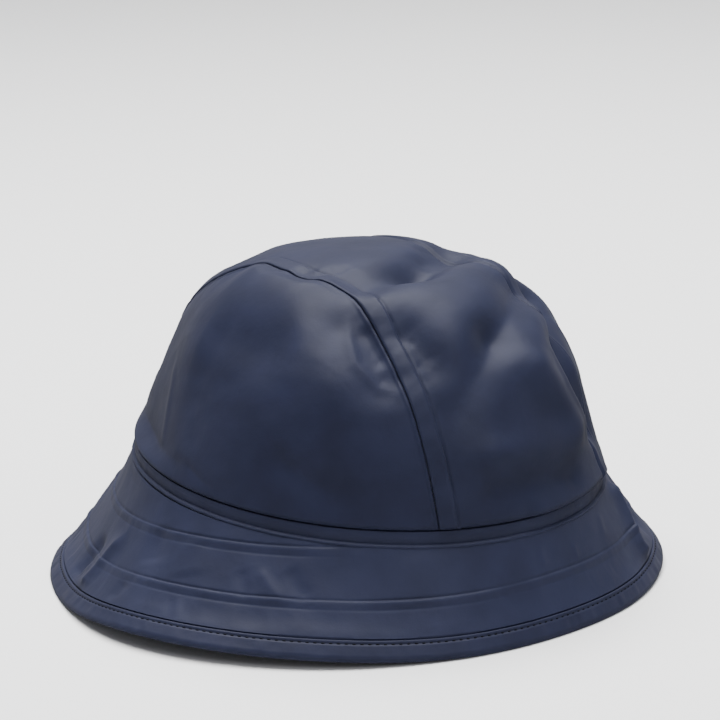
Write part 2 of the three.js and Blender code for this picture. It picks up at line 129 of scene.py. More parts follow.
# Fine creases of the crown: a run of points (azimuth, share of the slope), the width on
# the side toward the run's left and on its right, and the depth, in millimetres.
CREASES = [
    ("dip across the right seam", [(-94, 0.26), (-76, 0.27), (-62, 0.24), (-52, 0.17)], 6, 7, -1.9),
    ("ledge under that dip",
     [(-126, 0.33), (-100, 0.345), (-77, 0.345), (-58, 0.33)], 6.5, 15, 3.0),
    ("steep face of the right panel", [(-106, 0.57), (-84, 0.58), (-64, 0.57)], 14, 20, -2.6),
    ("fold that leaves the seam",
     [(-72, 0.30), (-65, 0.26), (-60, 0.22), (-48, 0.175)], 1.9, 3.2, 0.6),
    ("hollow left of the top", [(80, 0.20), (52, 0.19), (22, 0.17)], 7, 5, -1.2),
    ("core of the top valley",
     [(-30, 0.27), (-10, 0.21), (12, 0.20), (34, 0.25), (48, 0.27)], 3.5, 5, -0.6),
    ("lip before the top valley", [(-30, 0.29), (-8, 0.25), (20, 0.27), (45, 0.295)], 3, 4.5, 0.4),
    ("core of the long valley",
     [(50, 0.46), (14, 0.50), (0, 0.56), (-12, 0.645), (-18, 0.73)], 3.2, 5, -0.6),
    ("hollow beside the welt", [(-33, 0.46), (-27, 0.53), (-24, 0.60)], 6, 5, -1.2),
    ("bottom of the bowl", [(-46, 0.44), (-42, 0.52), (-38, 0.60)], 4.5, 4, -1.6),
    ("rim of the bowl",
     [(-51, 0.40), (-49.5, 0.50), (-47, 0.58), (-41, 0.645), (-35, 0.66)], 2.4, 3, 1.0),
    ("pleat beside the welt, upper", [(-32, 0.50), (-27, 0.515)], 1.8, 1.8, -0.25),
    ("pleat beside the welt, lower", [(-29, 0.58), (-24, 0.60)], 1.8, 1.8, -0.25),
    ("pinch at the left seam",
     [(58, 0.48), (46, 0.555), (34.5, 0.61), (30, 0.67), (32, 0.80)], 2.4, 2.4, -2.2),
    ("near edge of the pinch",
     [(50, 0.50), (34, 0.565), (24, 0.64), (22, 0.73), (26, 0.84), (32, 0.93)], 2.6, 2.6, 1.2),
    ("outer edge of the pinch", [(56, 0.60), (50, 0.68), (46, 0.80)], 2.6, 4, 0.8),
    ("streak at the right rear",
     [(-119, 0.68), (-114, 0.76), (-111, 0.86), (-109, 0.95)], 2.6, 3.4, 0.5),
    ("tuck above the band, right", [(-96, 0.93), (-88, 0.965), (-82, 0.98)], 1.8, 1.8, -0.4),
    ("low diagonal on the right panel", [(-70, 0.83), (-60, 0.885), (-50, 0.94)], 4, 5, -0.4),
    ("low bank at the front", [(-24, 0.84), (-12, 0.83), (2, 0.86)], 5, 4, 0.5),
    ("low fold at the front", [(-20, 0.885), (-8, 0.89), (4, 0.92), (14, 0.95)], 3, 4, -0.6),
    ("crossing on the rear of the strip", [(176, 0.40), (160, 0.52), (150, 0.66)], 2.4, 4, -0.8),
    ("rear pleat", [(-172, 0.62), (-160, 0.74), (-156, 0.88)], 2, 3.4, -0.7),
    ("left panel crease, upper", [(70, 0.40), (84, 0.48), (104, 0.52)], 2.2, 4.4, -0.8),
    ("left panel crease, lower", [(60, 0.72), (78, 0.80), (92, 0.90)], 2, 3.4, -0.7),
    ("left panel ridge line", [(112, 0.60), (118, 0.74), (116, 0.90)], 2.4, 3.2, 0.6),
]

# Places on the right seam where the cloth is pulled aside: share of the seam from its
# middle (0) to the front foot (-1) or the rear foot (1), and the shift outward in millimetres.
SEAM_DRIFT = [
    (-1.0, 0.0), (-0.55, 0.0), (-0.38, -1.6), (-0.24, -3.2), (-0.15, -1.0), (-0.06, 3.6),
    (0.05, 2.2), (0.16, -1.8), (0.32, 0.0), (1.0, 0.0),
]

# Folds of the brim: a run of points (azimuth, millimetres up from the edge), the width
# on either side and the depth, in millimetres, and how sharp the fold is, from 0 to 1.
BRIM_FOLDS = [
    ("crest at the front left",
     [(44, 48), (41, 37), (38.5, 27), (36.5, 17), (38, 2)], 5, 6, 3.4, 1),
    ("hollow behind that crest", [(53, 44), (51, 30), (50, 12)], 6, 6, -2.4, 0),
    ("crest at the right", [(-109, 38), (-111, 28), (-112, 18), (-113, 5)], 3.4, 5, 2.0, 0.6),
    ("hollow beside that crest", [(-119, 32), (-120, 18), (-119, 6)], 4, 5, -1.9, 0),
    ("second crest at the right", [(-117, 20), (-119, 12), (-121, 5)], 1.8, 2.4, 0.7, 0.5),
    ("dark fold at the right", [(-98, 20), (-99, 8)], 3.5, 3.5, -0.7, 0),
    ("swirl on the right", [(-68, 35), (-65, 29), (-61, 22)], 2.2, 3, 0.6, 0.4),
    ("hollow over the swirl", [(-62, 36), (-59, 29), (-56, 23)], 3.5, 3.5, -0.6, 0),
    ("hollow before the swirl", [(-72, 34), (-70, 27), (-68, 22)], 3, 3, -0.45, 0),
    ("soft dark band on the right", [(-97, 46), (-94, 28)], 6, 6, -1.1, 0),
    ("soft light band on the right", [(-86, 44), (-83, 26)], 7, 7, 0.9, 0),
    ("upright pleat at the front", [(-2, 36), (-2, 26)], 2.2, 2.2, 0.35, 0.4),
    ("second upright pleat", [(9, 32), (9, 25)], 2, 2, 0.3, 0.4),
    ("third upright pleat", [(24, 38), (22, 28)], 2.6, 2.6, 0.35, 0.3),
    ("broad hollow at the back", [(170, 52), (176, 28), (182, 12)], 12, 12, -1.6, 0),
    ("broad wave at the left rear", [(132, 46), (128, 26), (126, 8)], 9, 12, 1.4, 0.2),
    ("broad hollow at the left", [(88, 34), (84, 20), (82, 8)], 9, 9, -1.2, 0),
    ("wave at the right rear", [(-150, 48), (-146, 28), (-144, 8)], 8, 11, 1.3, 0.2),
]

# Fine pleats across the brim: azimuth of the middle, half spread in degrees, millimetres
# up from the edge where they start and end, pitch and depth in millimetres.
PLEATS = [
    (-116, 9, 4, 20, 3.4, 0.22),
    (-104, 6, 9, 19, 4.2, 0.10),
    (-80, 10, 9, 19, 5.0, 0.10),
    (-58, 7, 8, 19, 5.4, 0.09),
    (-30, 14, 9, 19, 6.2, 0.05),
    (18, 8, 9, 20, 2.8, 0.10),
    (44, 7, 8, 36, 3.2, 0.14),
    (70, 12, 9, 20, 4.6, 0.12),
    (104, 14, 9, 38, 5.0, 0.10),
    (150, 18, 9, 20, 5.4, 0.10),
    (-170, 16, 9, 40, 4.8, 0.10),
    (-136, 10, 9, 20, 4.0, 0.14),
]


class HatSizes(bpy.types.PropertyGroup):
    """Sizes of the hat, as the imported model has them."""

    head_length: FloatProperty(
        name="Head Length", description="Opening from front to back at the band's foot",
        default=0.1946, unit="LENGTH")
    head_width: FloatProperty(
        name="Head Width", description="Opening from side to side at the band's foot",
        default=0.1816, unit="LENGTH")
    base_height: FloatProperty(
        name="Base Height", description="Band's foot above the floor, half way front to back",
        default=0.0455, unit="LENGTH")
    base_tilt: FloatProperty(
        name="Base Tilt", description="How far the band leans down toward the front",
        default=math.radians(5.4), unit="ROTATION")
    band_height: FloatProperty(
        name="Band Height", description="Height of the band", default=0.0065, unit="LENGTH")
    band_wall: FloatProperty(
        name="Band Wall", description="Thickness of the band", default=0.0016, unit="LENGTH")
    crown_height: FloatProperty(
        name="Crown Height", description="Height from the crown's foot to its top",
        default=0.0795, unit="LENGTH")
    crown_inset: FloatProperty(
        name="Crown Inset", description="Crown's inner face inside the band's foot",
        default=0.0019, unit="LENGTH")
    crown_wall: FloatProperty(
        name="Crown Wall", description="Thickness of the crown's cloth with its turnings",
        default=0.0012, unit="LENGTH")
    strip_width: FloatProperty(
        name="Strip Width", description="Width of the centre strip at the top",
        default=0.072, unit="LENGTH")
    seam_right: FloatProperty(
        name="Right Seam", description="Azimuth of the right seam at the front foot",
        default=math.radians(28), unit="ROTATION")
    seam_left: FloatProperty(
        name="Left Seam", description="Azimuth of the left seam at the front foot",
        default=math.radians(36), unit="ROTATION")
    welt_width: FloatProperty(
        name="Welt Width", description="Width of the raised turning beside a seam",
        default=0.008, unit="LENGTH")
    welt_height: FloatProperty(
        name="Welt Height", description="How far the turning lifts the strip",
        default=0.0008, unit="LENGTH")
    brim_reach: FloatProperty(
        name="Brim Reach", description="Widest overhang of the brim, at the back",
        default=0.042, unit="LENGTH")
    brim_wall: FloatProperty(
        name="Brim Wall", description="Thickness of the brim", default=0.0014, unit="LENGTH")
    brim_lift: FloatProperty(
        name="Brim Lift", description="Greatest lift of the brim's edge off the floor",
        default=0.0055, unit="LENGTH")
    brim_sag: FloatProperty(
        name="Brim Sag", description="How far the middle of the slope hangs in",
        default=0.004, unit="LENGTH")
    rib_width: FloatProperty(
        name="Rib Width", description="Width of a rib round the brim",
        default=0.0036, unit="LENGTH")
    rib_height: FloatProperty(
        name="Rib Height", description="Height of a rib over the brim",
        default=0.0008, unit="LENGTH")
    lower_rib: FloatProperty(
        name="Lower Rib", description="Lower rib's distance up from the edge",
        default=0.020, unit="LENGTH")
    upper_rib: FloatProperty(
        name="Upper Rib", description="Upper rib's distance up from the edge",
        default=0.0405, unit="LENGTH")
    tape_width: FloatProperty(
        name="Tape Width", description="Width of the tape folded over the edge",
        default=0.0083, unit="LENGTH")
    tape_wall: FloatProperty(
        name="Tape Wall", description="Thickness of one layer of the tape",
        default=0.0009, unit="LENGTH")
    stitch_pitch: FloatProperty(
        name="Stitch Pitch", description="Distance from stitch to stitch on the tape",
        default=0.0029, unit="LENGTH")


class ClothLook(bpy.types.PropertyGroup):
    """Colours and finish of the coated cloth."""

    crown_color: FloatVectorProperty(
        name="Crown", description="Colour of the side panels", subtype="COLOR", size=3,
        min=0.0, max=1.0, default=(0.0112, 0.0134, 0.0318))
    strip_color: FloatVectorProperty(
        name="Strip", description="Colour of the centre strip", subtype="COLOR", size=3,
        min=0.0, max=1.0, default=(0.0114, 0.0136, 0.0316))
    # Band: the crown's cloth, coloured lighter than the crown to match how bright the band shows under
    # the lights: painted light.
    band_painted_light_color: FloatVectorProperty(
        name="Band", description="Colour of the band", subtype="COLOR", size=3,
        min=0.0, max=1.0, default=(0.0136, 0.0160, 0.0358))
    brim_color: FloatVectorProperty(
        name="Brim", description="Colour of the brim", subtype="COLOR", size=3,
        min=0.0, max=1.0, default=(0.0146, 0.0172, 0.0382))
    binding_color: FloatVectorProperty(
        name="Binding", description="Colour of the tape on the edge", subtype="COLOR", size=3,
        min=0.0, max=1.0, default=(0.0136, 0.0158, 0.0348))
    # Thread: near black, its own dark tone together with painted shade of the holes that the stitches
    # sink into.
    thread_tone_and_hole_shade: FloatVectorProperty(
        name="Thread", description="Colour of the sewing thread", subtype="COLOR", size=3,
        min=0.0, max=1.0, default=(0.0020, 0.0022, 0.0040))
    roughness: FloatProperty(
        name="Roughness", description="Roughness of the coating", subtype="FACTOR",
        min=0.0, max=1.0, default=0.54)
    grain_size: FloatProperty(
        name="Grain Size", description="Size of the coating's fine grain",
        default=0.0007, unit="LENGTH", precision=5)
    grain_depth: FloatProperty(
        name="Grain Depth", description="Strength of the coating's fine grain",
        subtype="FACTOR", min=0.0, max=1.0, default=0.12)
    crumple: FloatProperty(
        name="Crumple", description="Depth of the small waves all over the cloth",
        default=0.0003, unit="LENGTH", precision=5)


class StageLook(bpy.types.PropertyGroup):
    """Floor, lights and the camera's place."""

    floor_color: FloatVectorProperty(
        name="Floor", description="Colour of the floor", subtype="COLOR", size=3,
        min=0.0, max=1.0, default=(0.86, 0.86, 0.86))
    floor_size: FloatProperty(
        name="Floor Size", description="Width of the floor", default=12.0, unit="LENGTH")
    key_power: FloatProperty(
        name="Key Light", description="Power of the main soft light", default=112.0, unit="POWER")
    fill_power: FloatProperty(
        name="Fill Light", description="Power of the light from the front", default=9.0,
        unit="POWER")
    rear_power: FloatProperty(
        name="Rear Light", description="Power of the light over the floor behind the hat",
        default=10.0, unit="POWER")
    sky_strength: FloatProperty(
        name="Surround", description="Strength of the pale surround", min=0.0, default=0.9)
    azimuth: FloatProperty(
        name="Azimuth", description="Camera's direction round the hat",
        default=math.radians(-42), unit="ROTATION")
    elevation: FloatProperty(
        name="Elevation", description="Camera's angle above the floor",
        default=math.radians(14.3), unit="ROTATION")
    roll: FloatProperty(
        name="Roll", description="Camera's turn about its own line of sight",
        default=math.radians(-1.5), unit="ROTATION")
    distance: FloatProperty(
        name="Distance", description="Camera's distance", default=1.3, unit="LENGTH")
    lens: FloatProperty(
        name="Lens", description="Focal length in millimetres", default=160.95)


def smooth(x):
    """Smooth step from 0 to 1."""
    u = np.clip(x, 0, 1)
    return u * u * (3 - 2 * u)


def rounding(x):
    """Quarter of a circle from 0 to 1, for rolled edges."""
    u = 1 - np.clip(x, 0, 1)
    return np.sqrt(np.maximum(1 - u * u, 0))


def mix(a, b, t):
    return a + (b - a) * t


def noise(points, size):
    """Smooth noise from -1 to 1 with features of the given size, the same on each run."""
    g = np.asarray(points) / size
    cell = np.floor(g)
    u = g - cell
    u = u * u * (3 - 2 * u)
    total = np.zeros(g.shape[:-1])
    for corner in range(8):
        step = np.array([corner & 1, corner >> 1 & 1, corner >> 2 & 1])
        spot = cell + step
        wave = np.sin(spot[..., 0] * 127.1 + spot[..., 1] * 311.7 + spot[..., 2] * 74.7) * 43758.5453
        value = 2 * (wave - np.floor(wave)) - 1
        weight = np.prod(np.where(step == 1, u, 1 - u), axis=-1)
        total += value * weight
    return total


def length_of(vectors):
    return np.linalg.norm(vectors, axis=-1)


def distance_to_run(points, run):
    """Distance from points to a run of straight pieces, signed toward the run's left as
    seen with the last coordinate up, and the share of the run's length at the foot."""
    ends = [length_of(b - a) for a, b in zip(run[:-1], run[1:])]
    total = sum(ends)
    best = np.full(points.shape[:-1], np.inf)
    side = np.ones(points.shape[:-1])
    place = np.zeros(points.shape[:-1])
    before = 0.0
    for a, b, span in zip(run[:-1], run[1:], ends):
        along = (b - a) / span
        offset = points - a
        t = np.clip(offset @ along, 0, span)
        foot = a + t[..., None] * along
        gap = length_of(points - foot)
        turn = along[0] * offset[..., 1] - along[1] * offset[..., 0]
        near = gap < best
        best = np.where(near, gap, best)
        side = np.where(near, np.sign(turn), side)
        place = np.where(near, (before + t) / total, place)
        before += span
    return best, side, place


def crease_push(points, run, near, far, depth, sharp=0.2):
    """Height of one fine crease that dies out toward both its ends. A sharp one comes
    to an edge, a soft one is round."""
    gap, side, place = distance_to_run(points, run)
    width = np.where(side > 0, near, far)
    fade = smooth(place / 0.25) * smooth((1 - place) / 0.25)
    away = gap / width
    edged = np.exp(0.2 - np.sqrt((1.5 * away) ** 2 + 0.04))
    return depth * (0.15 + 0.85 * fade) * mix(np.exp(-away ** 2), edged, sharp)


class HatForm:
    """The hat's shape, in metres, from its sizes. Azimuth is in degrees from the front
    toward the wearer's left. A point of the crown is named on a flat disc: its middle is
    the crown's top and its edge the foot."""

    def __init__(self, sizes, crumple):
        self.s = sizes
        self.crumple = crumple
        self.tilt = math.tan(sizes.base_tilt)
        self.foot_length = sizes.head_length / 2 - sizes.crown_inset
        self.foot_width = sizes.head_width / 2 - sizes.crown_inset
        mean = (self.foot_length + self.foot_width) / 2
        rows = np.array(PROFILE)
        steps = np.hypot(np.diff(rows[:, 1]) * mean, np.diff(rows[:, 0]) * sizes.crown_height)
        arc = np.concatenate([[0], np.cumsum(steps)])
        self.slope_length = arc[-1]
        self.rows = rows
        self.at = arc / arc[-1]
        low, high = CAD_BOX
        self.origin = np.array([(low.x + high.x) / 2, (low.y + high.y) / 2, low.z])
        self.origin = self.origin - self.hat_middle()
        self.folds = []
        for _, start, end, width, depth in FOLDS:
            line = [self.smooth_crown(on_disc(*start)), self.smooth_crown(on_disc(*end))]
            self.folds.append((line, width * MM, depth * MM))
        self.creases = []
        for _, run, near, far, depth in CREASES:
            line = [self.smooth_crown(on_disc(*spot)) for spot in run]
            self.creases.append((line, near * MM, far * MM, depth * MM))

    def hat_middle(self):
        """Middle of the tape's box seen from above, before the hat is moved to the frame."""
        azimuth = np.arange(84) * 360 / 84
        slope = self.slope_at(azimuth)
        tip = self.brim_point(slope, np.zeros(84), np.zeros(84)) + slope["out"] * 0.8 * MM
        middle = (tip.max(axis=0) + tip.min(axis=0)) / 2
        middle[2] = 0
        return middle

    def base_at(self, y):
        return self.s.base_height + self.tilt * y

    def profile(self, share):
        """Rise and radius at a share of the way down the crown's slope."""
        at = self.at
        p = np.clip(share, 0, 1)
        i = np.clip(np.searchsorted(at, p, side="right") - 1, 0, len(at) - 2)
        span = at[i + 1] - at[i]
        u = (p - at[i]) / span
        values = []
        for column in (0, 1):
            row = self.rows[:, column]
            slopes = np.zeros(len(at))
            for j in range(len(at)):
                before, after = max(j - 1, 0), min(j + 1, len(at) - 1)
                slopes[j] = (row[after] - row[before]) / (at[after] - at[before])
            if column == 0:
                slopes[0] = 0
            values.append(
                (2 * u**3 - 3 * u**2 + 1) * row[i] + (u**3 - 2 * u**2 + u) * span * slopes[i]
                + (3 * u**2 - 2 * u**3) * row[i + 1] + (u**3 - u**2) * span * slopes[i + 1])
        return values

    def smooth_crown(self, q):
        """The crown's inner face without folds."""
        q = np.asarray(q, float)
        at = np.hypot(q[..., 0], q[..., 1])
        rise, radius = self.profile(at)
        scale = radius / np.maximum(at, 1e-9)
        x = self.foot_width * q[..., 0] * scale
        y = self.foot_length * q[..., 1] * scale
        foot = self.s.base_height + self.s.band_height + FOOT_GAP
        z = foot + self.tilt * y * (1 - rise) + self.s.crown_height * rise
        return np.stack([x, y, z], -1)

    def crown_normal(self, q):
        step = 0.004
        inside = np.maximum(np.hypot(q[..., 0], q[..., 1]) / (1 - step), 1)
        c = q / inside[..., None]
        across = self.smooth_crown(c + [step, 0]) - self.smooth_crown(c - [step, 0])
        along = self.smooth_crown(c + [0, step]) - self.smooth_crown(c - [0, step])
        normal = np.cross(across, along)
        return normal / length_of(normal)[..., None]

    def fold_push(self, points, at):
        """How far the folds and creases push the crown's cloth outward."""
        push = np.zeros(points.shape[:-1])
        for line, width, depth in self.folds:
            gap, _, _ = distance_to_run(points, line)
            push += depth * np.exp(-(gap / width) ** 2)
        for line, near, far, depth in self.creases:
            push += crease_push(points, line, near, far, depth)
        push += self.crumple * noise(points, 21 * MM)
        push += self.crumple * 0.5 * noise(points * [1, 1, 1.6] + 0.3, 9 * MM)
        return push * smooth((1 - at) / 0.06)

    def crown_faces(self, q, lift):
        """Outer face at a height over the inner one, and the inner face."""
        base = self.smooth_crown(q)
        normal = self.crown_normal(q)
        push = self.fold_push(base, np.hypot(q[..., 0], q[..., 1]))
        outer = base + normal * (push + lift)[..., None]
        inner = base + normal * push[..., None]
        return outer + self.origin, inner + self.origin

    def seam(self, side, t):
        """The seam on one side, from the front foot (-1) to the rear foot (1)."""
        azimuth = self.s.seam_right if side < 0 else self.s.seam_left
        top = self.s.strip_width / 2 / self.slope_length
        wide = mix(top, math.sin(azimuth), np.abs(t) ** 1.5)
        if side < 0:
            fine = np.linspace(-1, 1, 401)
            shift = np.interp(fine, *np.transpose(SEAM_DRIFT))
            soft = np.convolve(np.pad(shift, 12, mode="edge"), np.hanning(27)[1:-1], mode="valid")
            wide = wide + np.interp(t, fine, soft / np.hanning(27).sum()) * MM / self.slope_length
        return np.stack([side * wide, t * math.cos(azimuth)], -1)

    def cloth_per_unit(self, q):
        step = 0.004
        gap = self.smooth_crown(q + [step, 0]) - self.smooth_crown(q - [step, 0])
        return length_of(gap) / (2 * step)

    def along_seam(self, side, t):
        """Length on the cloth from the front foot to each place on the seam."""
        spots = self.smooth_crown(self.seam(side, t))
        steps = length_of(np.diff(spots, axis=0))
        return np.concatenate([[0], np.cumsum(steps)])

    def brim_share(self, azimuth, column):
        """Smooth closed curve through one column of the brim's rows."""
        rows = np.array([row[column] for row in BRIM])
        place = (np.asarray(azimuth, float) % 360) / 360 * len(rows)
        i = np.floor(place).astype(int)
        u = place - i
        a, b, c, d = [rows[(i + k) % len(rows)] for k in (-1, 0, 1, 2)]
        return 0.5 * (2 * b + (c - a) * u + (2 * a - 5 * b + 4 * c - d) * u**2
                      + (3 * b - a - 3 * c + d) * u**3)

    def slope_at(self, azimuth):
        """Where the brim springs from the band, which way is outward and how it slopes."""
        s = self.s
        turn = np.radians(azimuth)
        x = s.head_width / 2 * np.sin(turn)
        y = -s.head_length / 2 * np.cos(turn)
        out = np.stack([np.sin(turn) / s.head_width, -np.cos(turn) / s.head_length, 0 * turn], -1)
        out = out / length_of(out)[..., None]
        top = np.stack([x, y, self.base_at(y)], -1)
        reach = s.brim_reach * self.brim_share(azimuth, 0)
        lift = np.maximum(s.brim_lift * self.brim_share(azimuth, 1), 0)
        sag = s.brim_sag * self.brim_share(azimuth, 2)
        drop = top[..., 2] - lift
        length = np.hypot(reach, drop)
        return {"top": top, "out": out, "length": length, "lift": lift, "sag": sag,
                "along": reach / length, "down": drop / length}

    def brim_point(self, slope, up, height):
        """A point at a distance up the slope from the edge and at a height over it."""
        length = slope["length"]
        run = length - up
        over = height - slope["sag"] * 4 * (run / length) * (up / length)
        outward = run * slope["along"] + over * slope["down"]
        upward = -run * slope["down"] + over * slope["along"]
        return slope["top"] + slope["out"] * outward[..., None] + upward[..., None] * [0, 0, 1]


def on_disc(azimuth, at):
    turn = math.radians(azimuth)
    return np.array([at * math.sin(turn), -at * math.cos(turn)])


def crowded(count, strength):
    """Places from 0 to 1 that lie closer together toward both ends."""
    u = np.linspace(0, 1, count)
    return u - strength * np.sin(2 * np.pi * u) / (2 * np.pi)


def new_object(name, points, faces, material, body="root"):
    """A smooth mesh object that rides on a body, with its material."""
    mesh = bpy.data.meshes.new(name)
    mesh.from_pydata(points.reshape(-1, 3).tolist(), [], faces.tolist())
    mesh.shade_smooth()
    mesh.set_sharp_from_angle(angle=math.radians(60))
    mesh.materials.append(material)
    piece = bpy.data.objects.new(name, mesh)
    bpy.context.scene.collection.objects.link(piece)
    if body:
        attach(piece, body)
    return piece


def shell(name, outer, inner, turned, material):
    """Cloth with a thickness from two grids of points, closed round its edge."""
    rows, columns = outer.shape[:2]
    count = rows * columns
    index = np.arange(count).reshape(rows, columns)
    quads = np.stack([index[:-1, :-1], index[:-1, 1:], index[1:, 1:], index[1:, :-1]], -1)
    quads = quads.reshape(-1, 4)
    if turned:
        quads = quads[:, ::-1]
    starts = quads.ravel()
    ends = np.roll(quads, -1, axis=1).ravel()
    border = ~np.isin(starts * count + ends, ends * count + starts)
    a, b = starts[border], ends[border]
    walls = np.stack([a, a + count, b + count, b], -1)
    faces = np.concatenate([quads, quads[:, ::-1] + count, walls])
    points = np.concatenate([outer.reshape(-1, 3), inner.reshape(-1, 3)])
    return new_object(name, points, faces, material)


def ring(name, grid, material):
    """A closed ring from one closed section at each azimuth."""
    steps, size = grid.shape[:2]
    index = np.arange(steps * size).reshape(steps, size)
    after = np.roll(index, -1, axis=0)
    faces = np.stack([index, after, np.roll(after, -1, axis=1), np.roll(index, -1, axis=1)], -1)
    return new_object(name, grid, faces.reshape(-1, 4), material)


def link(tree, start, end):
    tree.links.new(start, end)


def noise_texture(tree, place, scale, detail=2.0):
    """Noise on the piece's own coordinates."""
    node = tree.nodes.new("ShaderNodeTexNoise")
    node.inputs["Scale"].default_value = scale
    node.inputs["Detail"].default_value = detail
    link(tree, place.outputs["Object"], node.inputs["Vector"])
    return node.outputs["Fac"]


def color_ramp(tree, value, low, high):
    """Colours between two stops, each a position and a colour."""
    node = tree.nodes.new("ShaderNodeValToRGB")
    for element, (position, color) in zip(node.color_ramp.elements, (low, high)):
        element.position = position
        element.color = (*color, 1)
    link(tree, value, node.inputs["Fac"])
    return node.outputs["Color"]


def bump(tree, height, strength, distance):
    node = tree.nodes.new("ShaderNodeBump")
    node.inputs["Strength"].default_value = strength
    node.inputs["Distance"].default_value = distance
    link(tree, height, node.inputs["Height"])
    return node


def coated_cloth(name, color, look):
    """Navy cloth with a satin coating: a little uneven in colour and gloss, finely
    grained, and paler where it is rubbed."""
    material = bpy.data.materials.new(name)
    material.use_nodes = True
    tree = material.node_tree
    shader = tree.nodes["Principled BSDF"]
    shader.inputs["Metallic"].default_value = 0.0
    shader.inputs["Coat Weight"].default_value = 0.02
    shader.inputs["Coat Roughness"].default_value = 0.28
    shader.inputs["Sheen Weight"].default_value = 0.02
    shader.inputs["Sheen Roughness"].default_value = 0.45
    shader.inputs["Specular IOR Level"].default_value = 0.11
    place = tree.nodes.new("ShaderNodeTexCoord")

    blotch = noise_texture(tree, place, 55, 4)
    dark, light = [c * 0.86 for c in color], [c * 1.12 for c in color]
    shades = color_ramp(tree, blotch, (0.3, dark), (0.72, light))
    geometry = tree.nodes.new("ShaderNodeNewGeometry")
    rubbed = color_ramp(tree, geometry.outputs["Pointiness"], (0.50, (0, 0, 0)), (0.62, (0.5, 0.5, 0.5)))
    worn = tree.nodes.new("ShaderNodeMix")
    worn.data_type = "RGBA"
    worn.inputs[7].default_value = (*[c * 1.35 + 0.002 for c in color], 1)
    link(tree, rubbed, worn.inputs[0])
    link(tree, shades, worn.inputs[6])
    link(tree, worn.outputs[2], shader.inputs["Base Color"])

    satin = tree.nodes.new("ShaderNodeMapRange")
    satin.inputs["To Min"].default_value = look.roughness - 0.05
    satin.inputs["To Max"].default_value = look.roughness + 0.07
    link(tree, noise_texture(tree, place, 140, 3), satin.inputs["Value"])
    link(tree, satin.outputs["Result"], shader.inputs["Roughness"])

    ripple = noise_texture(tree, place, 0.22 / look.grain_size)
    soft = bump(tree, ripple, look.grain_depth * 1.6, 0.4 * MM)
    grain = noise_texture(tree, place, 1 / look.grain_size, 3)
    fine = bump(tree, grain, look.grain_depth, 0.2 * MM)
    link(tree, soft.outputs["Normal"], fine.inputs["Normal"])
    link(tree, fine.outputs["Normal"], shader.inputs["Normal"])
    return material


def twisted_thread(name, color):
    """Sewing thread: matt, with a fine twist."""
    material = bpy.data.materials.new(name)
    material.use_nodes = True
    tree = material.node_tree
    shader = tree.nodes["Principled BSDF"]
    shader.inputs["Roughness"].default_value = 0.85
    shader.inputs["Specular IOR Level"].default_value = 0.1
    place = tree.nodes.new("ShaderNodeTexCoord")
    twist = noise_texture(tree, place, 2600)
    shades = color_ramp(tree, twist, (0, [c * 0.7 for c in color]), (1, [c * 1.5 for c in color]))
    link(tree, shades, shader.inputs["Base Color"])
    link(tree, bump(tree, twist, 0.4, 0.1 * MM).outputs["Normal"], shader.inputs["Normal"])
    return material


def hat_form(context):
    return HatForm(context.scene.hat_sizes, context.scene.cloth_look.crumple)


def seam_puckers(form, side, t, gap):
    """Small waves of the cloth beside a seam, dying out away from it."""
    along = form.along_seam(side, t)[:, None]
    wander = noise(np.concatenate([along, 0 * along, 0 * along + side], -1), 13 * MM)[:, None]
    wave = np.sin(along / (6.5 * MM) * 2 * np.pi + 2.2 * wander)
    size = 0.5 + 0.5 * noise(np.concatenate([along, 0 * along + side, 0 * along], -1), 29 * MM)
    return 0.09 * MM * wave * size[:, None] * np.exp(-(gap / (6 * MM)) ** 2)


def foot_roll(form, q):
    """How far the outer face swells over the band and then rolls in to it. At the front
    left the cloth hangs further over the band."""
    at = np.hypot(q[..., 0], q[..., 1])
    azimuth = np.degrees(np.arctan2(q[..., 0], -q[..., 1]))
    above = (1 - at) * form.slope_length
    hang = 0.6 + 1.5 * smooth((azimuth + 5) / 6) * smooth((46 - azimuth) / 12)
    swell = hang * MM * np.exp(-(above / (5 * MM)) ** 2)
    return 1.0 * MM * (1 - rounding(above / (1.5 * MM))) - swell


def side_panel(context, name, side, material):
    """One side panel of the crown, from its seam to the band."""
    form = hat_form(context)
    wall = form.s.crown_wall
    azimuth = math.degrees(form.s.seam_right if side < 0 else form.s.seam_left)
    rows, columns = PANEL_GRID
    t = np.linspace(-0.997, 0.997, rows)
    edge = form.seam(side, t)
    turn = side * np.radians(mix(azimuth, 180 - azimuth, (t + 1) / 2))
    foot = np.stack([np.sin(turn), -np.cos(turn)], -1)
    across = length_of(foot - edge)
    start = SEAM_GAP / 2 / form.cloth_per_unit(edge) / across
    share = mix(start[:, None], 1, crowded(columns, 0.85)[None, :])
    q = mix(edge[:, None], foot[:, None], share[..., None])
    gap = share * (across * form.cloth_per_unit(edge))[:, None] - SEAM_GAP / 2
    lift = wall - 0.45 * MM * (1 - rounding(gap / (0.7 * MM)))
    lift = lift + 0.3 * MM * np.exp(-((gap - 1.1 * MM) / (0.9 * MM)) ** 2)
    lift = lift + np.maximum(seam_puckers(form, side, t, gap), -0.3 * MM) - foot_roll(form, q)
    outer, inner = form.crown_faces(q, lift)
    return shell(name, outer, inner, side < 0, material)


